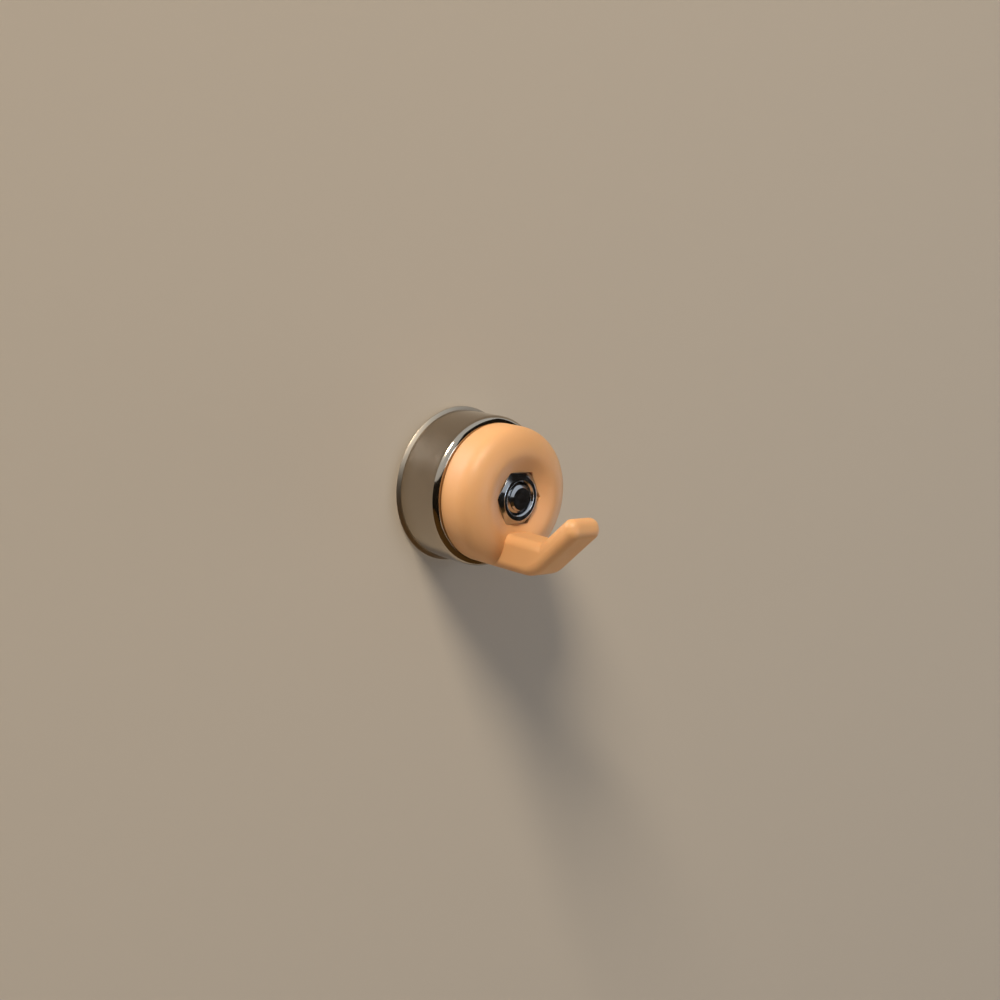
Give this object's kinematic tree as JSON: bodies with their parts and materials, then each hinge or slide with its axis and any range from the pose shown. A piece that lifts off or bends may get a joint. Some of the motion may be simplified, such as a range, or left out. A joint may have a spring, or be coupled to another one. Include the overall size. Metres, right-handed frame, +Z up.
{
  "type": "magnetic hook",
  "caption": "Pot magnet with a threaded stud that carries a ring-shaped moulded hook on a captive hex nut; the blunt arm runs out and bends up.",
  "frame": {"origin": "centre of the magnet's back face, on the wall", "axes": "+Z up, +Y into the wall, the hook faces -Y"},
  "size_m": [0.025, 0.0295, 0.025],
  "materials": {
    "nickel_plate": "bright nickel plate on drawn steel",
    "magnet_plate": "ground nickel-coated sintered magnet",
    "potting_resin": "cast black epoxy",
    "zinc_plate": "bright zinc plate on steel",
    "peach_plastic": "smooth moulded peach plastic with a soft sheen"
  },
  "bodies": {
    "magnet": {"magnet_cup": "nickel_plate", "magnet_disc": "magnet_plate", "potting_ring": "potting_resin", "threaded_stud": "zinc_plate"},
    "hook": {"hook_body": "peach_plastic", "hex_nut": "zinc_plate"}
  },
  "joints": [
    {"name": "hook_turn", "type": "hinge", "parent": "magnet", "child": "hook", "pos_m": [0, -0.0086, 0], "axis": [0, -1, 0], "continuous": true}
  ]
}
